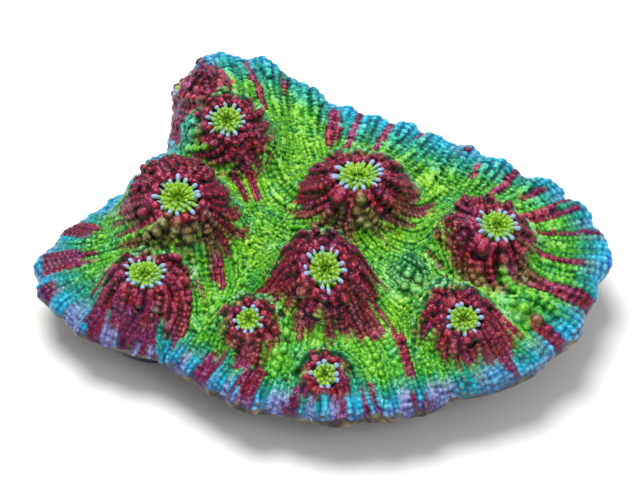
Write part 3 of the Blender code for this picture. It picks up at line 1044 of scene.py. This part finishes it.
def polyp_material():
    g = Graph("polyp_flesh_wet")
    green = stops(((44, 112, 2), (96, 160, 8), (158, 204, 26), (190, 224, 70)))
    disc = g.ramp(g.attribute("ridge"), green)
    mouth = stops(((96, 70, 8), (150, 190, 24), (40, 140, 12)), (0.04, 0.12, 0.3))
    deep = g.ramp(g.attribute("middle"), mouth)
    near = g.ramp(g.attribute("middle"), ((0.15, 1, 1, 1), (0.45, 0, 0, 0)))
    colour = g.mix(g.math("MULTIPLY", near, 0.7), disc, deep)
    tipped = ((104, 160, 8), (158, 204, 40), (128, 184, 150), (160, 182, 220))
    finger = g.ramp(g.attribute("tip"), stops(tipped, (0.1, 0.4, 0.56, 0.7)))
    is_finger = g.ramp(g.attribute("tip"), ((0.02, 0, 0, 0), (0.2, 1, 1, 1)))
    wet(g, g.mix(is_finger, colour, finger), 0.35)
    g.fill(g.shader, {"Subsurface Weight": 0.15, "Subsurface Radius": (0.6, 1.0, 0.4),
                      "Subsurface Scale": 0.5 * MM})
    g.bump(g.noise(0.5), 0.2, 0.1)
    return g.material


# ---- the studio


def camera():
    e = CAMERA_ELEVATION
    back = Vector((0, -math.cos(e), math.sin(e)))
    data = bpy.data.cameras.new("camera")
    data.lens = CAMERA_LENS
    data.clip_start = 0.01
    made = object_from("camera", data)
    made.location = (CAMERA_TARGET + back * CAMERA_DISTANCE) * MM
    made.rotation_euler = (-back).to_track_quat("-Z", "Y").to_euler()
    bpy.context.scene.camera = made


def floor():
    corners = np.array([(-1, -1, 0), (1, -1, 0), (1, 1, 0), (-1, 1, 0)]) * FLOOR_HALF
    made = mesh_from("floor", corners, np.array([(0, 1, 2), (0, 2, 3)]))
    g = Graph("pale_floor")
    colour = g.mix(g.noise(400.0), (0.93, 0.93, 0.93, 1), (0.96, 0.96, 0.96, 1))
    g.fill(g.shader, {"Base Color": colour, "Roughness": 0.9})
    made.data.materials.append(g.material)


def area_light(name, place, size, power, colour):
    data = bpy.data.lights.new(name, "AREA")
    data.shape = "DISK"
    data.size = size
    data.energy = power
    data.color = colour
    made = object_from(name, data)
    made.location = place
    made.rotation_euler = (-Vector(place)).to_track_quat("-Z", "Y").to_euler()


def lights():
    world = bpy.data.worlds.new("studio")
    world.use_nodes = True
    sky = world.node_tree.nodes["Background"]
    sky.inputs["Color"].default_value = (0.96, 0.98, 1.0, 1)
    sky.inputs["Strength"].default_value = 0.46
    bpy.context.scene.world = world
    area_light("key", (-0.12, 0.16, 0.72), 0.42, 5.2, (1.0, 0.99, 0.96))
    area_light("fill", (0.35, -0.5, 0.6), 0.35, 1.0, (0.92, 0.96, 1.0))
    bpy.context.scene.view_settings.view_transform = "Standard"


# ---- putting it together


def place_piece(piece, slot, material, *nodes):
    piece.data.materials.clear()
    piece.data.materials.append(material)
    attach(piece, "root")
    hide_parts(*nodes)


def softened(values, faces, times):
    """Each point's value mixed with its neighbours' values, several times over."""
    a, b = faces.ravel(), np.roll(faces, 1, axis=1).ravel()
    count = np.bincount(a, minlength=len(values))
    for _ in range(times):
        around = np.bincount(a, values[b], len(values)) / np.maximum(count, 1)
        values = 0.4 * values + 0.6 * around
    return values


def tissue_values(tissue, ground, beads, masks, rng):
    """What each point of the finished surface is coloured by, from the bead nearest to it."""
    tree = tree_of([b.place for b in beads])
    points, normals = mesh_points(tissue), mesh_normals(tissue)
    nearest = np.array([tree.find(p)[1] for p in points])
    faces = triangles(tissue)
    values = {label: softened(mask[nearest], faces, SOFTENING) for label, mask in masks.items()}
    place, normal = np.array([b.place for b in beads]), unit(np.array([b.normal for b in beads]))
    tall = np.array([b.tall for b in beads])
    # The height on each bead, which the colour ramps turn into painted shade in the grooves and a painted
    # highlight at the top; beads fused flat near the rim get less of both.
    height = ((points - place[nearest]) * normal[nearest]).sum(1) / np.maximum(tall[nearest], 0.3)
    values["crown"] = np.clip(height, 0, 1) * (1 - 0.4 * values["fused"]) + 0.28 * values["fused"]
    values["tint"] = rng.random(len(beads))[nearest]
    lip = smooth(0.98, 1.0, ground.rim.share(points)) * smooth(0.45, 0.15, normals[:, 2])
    low = np.maximum(lip, smooth(FOOT_TOP, 6.5, points[:, 2]))
    values["under"] = np.maximum(smooth(0.08, -0.25, normals[:, 2]), low)
    # Darker towards the floor: partly the foot's own colour and partly painted shade under the plate.
    values["foot"] = smooth(FOOT_TOP, 4.0, points[:, 2])
    return values


def cut_up(tissue, cups, ground, values):
    """The surface as one piece for each cup, small enough to hand over, with unbroken shading."""
    points, faces, normals = mesh_points(tissue), triangles(tissue), mesh_normals(tissue)
    owner = ground.nearest_cups(points[faces].mean(1))[0]
    pieces = []
    for k, cup in enumerate(cups):
        mine, corners = np.unique(faces[owner == k], return_inverse=True)
        piece = mesh_from("tissue_" + cup.name, points[mine], corners.reshape(-1, 3))
        piece.data.normals_split_custom_set_from_vertices(normals[mine].tolist())
        for label, value in values.items():
            set_values(piece, label, value[mine])
        pieces.append(piece)
    bpy.data.objects.remove(tissue)
    return pieces


def main():
    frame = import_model()
    plate = frame["nodes"]["plate"]
    polyps = sorted(name for name in frame["nodes"] if name.startswith(POLYP))
    cups = [read_cup(name.removeprefix(POLYP), frame["nodes"][name]) for name in polyps]
    camera()
    floor()
    lights()

    rim = Rim(plate)
    skin = plain_skin(plate)
    bare_ground = Ground(skin, cups, rim)
    folds = Folds(bare_ground)
    raise_skin(skin, bare_ground, folds)
    ground = Ground(skin, cups, rim)
    spacing = ground.row_widths()
    rows, taken = grow_rows(ground, spacing, 2.0)
    rng = random.Random(11)
    beads = string_beads(ground, rows, taken, spacing.tolist(), rng)
    beads += ring_knobs(ground, cups, beads, rng)
    beads += scatter_grains(ground, beads, rng)
    masks = colour_masks(cups, rim, folds, beads)
    tissue = heap(skin, beads, np.random.default_rng(3))
    bpy.data.objects.remove(skin)
    fuse(tissue)
    values = tissue_values(tissue, ground, beads, masks, np.random.default_rng(4))
    material = tissue_material()
    for piece in cut_up(tissue, cups, ground, values):
        place_piece(piece, "coral_tissue", material, "plate")
    flesh = polyp_material()
    for k, cup in enumerate(cups):
        place_piece(polyp(cup, seed=k), "polyp_flesh", flesh, POLYP + cup.name)


main()
